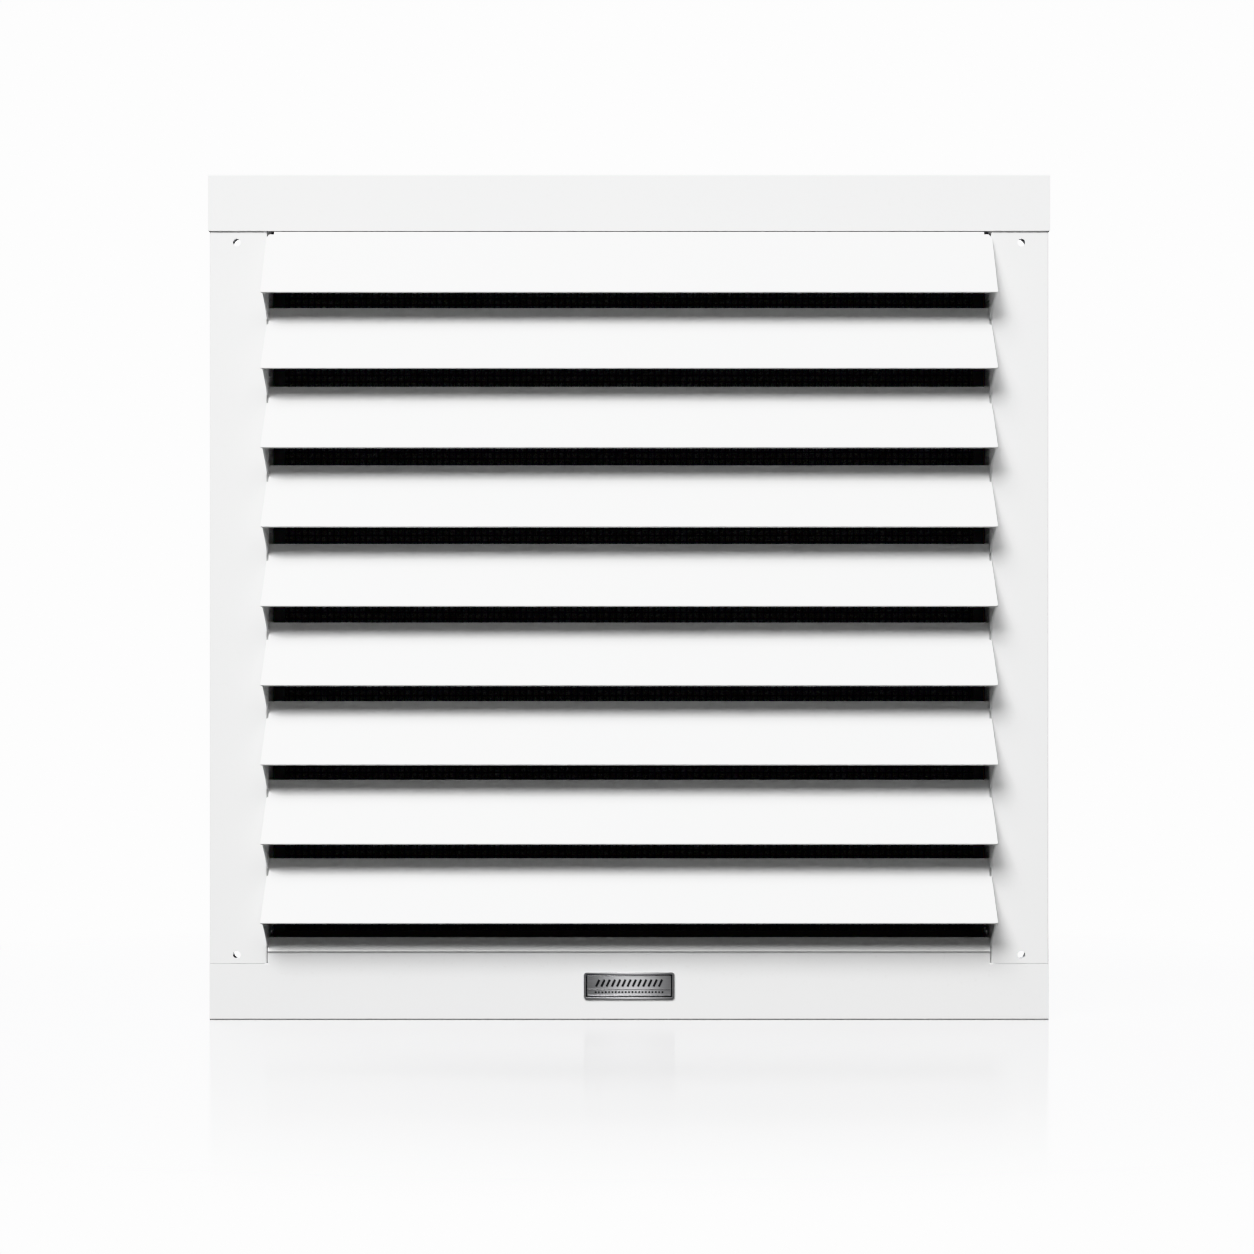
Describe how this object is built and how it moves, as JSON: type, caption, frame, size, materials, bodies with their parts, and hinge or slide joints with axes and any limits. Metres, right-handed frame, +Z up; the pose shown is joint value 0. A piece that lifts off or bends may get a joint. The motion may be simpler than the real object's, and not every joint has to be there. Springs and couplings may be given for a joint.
{
  "type": "louvred air grille",
  "caption": "Square white sheet-metal air grille with fixed hemmed louvre blades, end cheeks, a wire screen, a filter and a rear sleeve.",
  "frame": {"origin": "bottom centre of the bounding box, on the surface the grille stands on", "axes": "+X to the right as seen from the front, +Y back into the wall, +Z up; the blades face -Y"},
  "size_m": [0.582, 0.077, 0.584],
  "materials": {
    "white_powder_coat": "satin",
    "black_channel": "matte",
    "screen_wire": "matte",
    "filter_foam": "matte",
    "zinc_steel": "satin",
    "rivet_aluminium": "satin",
    "nameplate_metal": "satin",
    "adhesive_pad": "matte"
  },
  "bodies": {
    "root": {"bottom_left_fixing_plate": "zinc_steel", "bottom_left_sleeve_angle": "zinc_steel", "bottom_left_spacer": "zinc_steel", "bottom_rail": "white_powder_coat", "bottom_right_fixing_plate": "zinc_steel", "bottom_right_sleeve_angle": "zinc_steel", "bottom_right_spacer": "zinc_steel", "filter": "filter_foam", "left_blade_rivets": "rivet_aluminium", "left_stile": "white_powder_coat", "louvre_blade_1": "white_powder_coat", "louvre_blade_2": "white_powder_coat", "louvre_blade_3": "white_powder_coat", "louvre_blade_4": "white_powder_coat", "louvre_blade_5": "white_powder_coat", "louvre_blade_6": "white_powder_coat", "louvre_blade_7": "white_powder_coat", "louvre_blade_8": "white_powder_coat", "louvre_blade_9": "white_powder_coat", "lower_filter_wire": "zinc_steel", "mesh_screen": "screen_wire", "nameplate": "nameplate_metal", "nameplate_pad": "adhesive_pad", "right_blade_rivets": "rivet_aluminium", "right_stile": "white_powder_coat", "screen_channel_bottom": "black_channel", "screen_channel_left": "black_channel", "screen_channel_right": "black_channel", "screen_channel_top": "black_channel", "screen_screws": "zinc_steel", "sill": "white_powder_coat", "sleeve_angle_rivets": "rivet_aluminium", "sleeve_top": "white_powder_coat", "top_left_fixing_plate": "zinc_steel", "top_left_sleeve_angle": "zinc_steel", "top_left_spacer": "zinc_steel", "top_rail": "white_powder_coat", "top_right_fixing_plate": "zinc_steel", "top_right_sleeve_angle": "zinc_steel", "top_right_spacer": "zinc_steel", "upper_filter_wire": "zinc_steel"}
  },
  "joints": []
}
